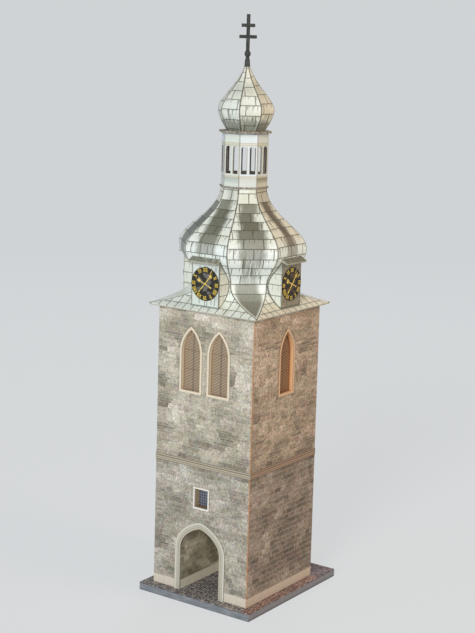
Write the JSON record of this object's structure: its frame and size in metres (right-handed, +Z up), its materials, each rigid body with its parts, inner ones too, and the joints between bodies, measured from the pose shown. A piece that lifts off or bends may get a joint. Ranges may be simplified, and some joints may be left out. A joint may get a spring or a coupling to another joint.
{
  "type": "card model of a bell tower",
  "caption": "Card model of a square stone bell tower with an arched passage, clocks below a bell-shaped roof, an open lantern, an onion and a cross, on a cobbled base board.",
  "frame": {"origin": "centre of the base board's underside", "axes": "+Z up the tower, -Y out of the arched front, +X to the right of the front"},
  "size_m": [0.0706, 0.0812, 0.3029],
  "materials": {
    "grey_board": "matt grey board, cut edges",
    "cobble_print": "matt print of small setts",
    "stone_print": "matt print of small coursed stone, cream plinth at the foot",
    "string_print": "matt print, fine lines",
    "surround_print": "matt print of a three-band moulding",
    "passage_print": "matt print of coursed stone",
    "white_card": "matt white card",
    "grille_print": "matt print of a dark grille",
    "cream_card": "matt cream card, tan reveals",
    "louvre_print": "matt print of brown louvres",
    "plain_card": "matt card",
    "sheet_metal_print": "matt print of pale metal sheets with dark seams",
    "clock_box_print": "matt pale print",
    "hood_print": "matt grey-green print",
    "dial_print": "satin black print with gold numerals",
    "gold_print": "satin gold print",
    "lantern_print": "matt off-white print",
    "plate_print": "matt grey print",
    "onion_print": "matt print of pale metal sheets",
    "dark_paint": "dark matt paint"
  },
  "bodies": {
    "root": {"base_board": "grey_board", "cobbled_sheet": "cobble_print", "front_lower_wall": "stone_print", "right_lower_wall": "stone_print", "back_lower_wall": "stone_print", "left_lower_wall": "stone_print", "front_upper_wall": "stone_print", "right_upper_wall": "stone_print", "back_upper_wall": "stone_print", "left_upper_wall": "stone_print", "string_course": "string_print", "front_arch_surround": "surround_print", "back_arch_surround": "surround_print", "passage_left_wall": "passage_print", "passage_right_wall": "passage_print", "passage_vault": "passage_print", "small_window_frames": "white_card", "small_window_grilles": "grille_print", "lancet_frames": "cream_card", "louvre_panels": "louvre_print", "roof_deck": "plain_card", "front_gore": "sheet_metal_print", "front_right_gore": "sheet_metal_print", "right_gore": "sheet_metal_print", "back_right_gore": "sheet_metal_print", "back_gore": "sheet_metal_print", "back_left_gore": "sheet_metal_print", "left_gore": "sheet_metal_print", "front_left_gore": "sheet_metal_print", "front_clock_box": "clock_box_print", "right_clock_box": "clock_box_print", "back_clock_box": "clock_box_print", "left_clock_box": "clock_box_print", "clock_hoods": "hood_print", "clock_dials": "dial_print", "hour_hands": "gold_print", "minute_hands": "gold_print", "lantern_sill": "plate_print", "lantern_walls": "lantern_print", "lantern_cornice": "plate_print", "upper_onion": "onion_print", "finial": "dark_paint", "cross": "dark_paint"}
  },
  "joints": []
}
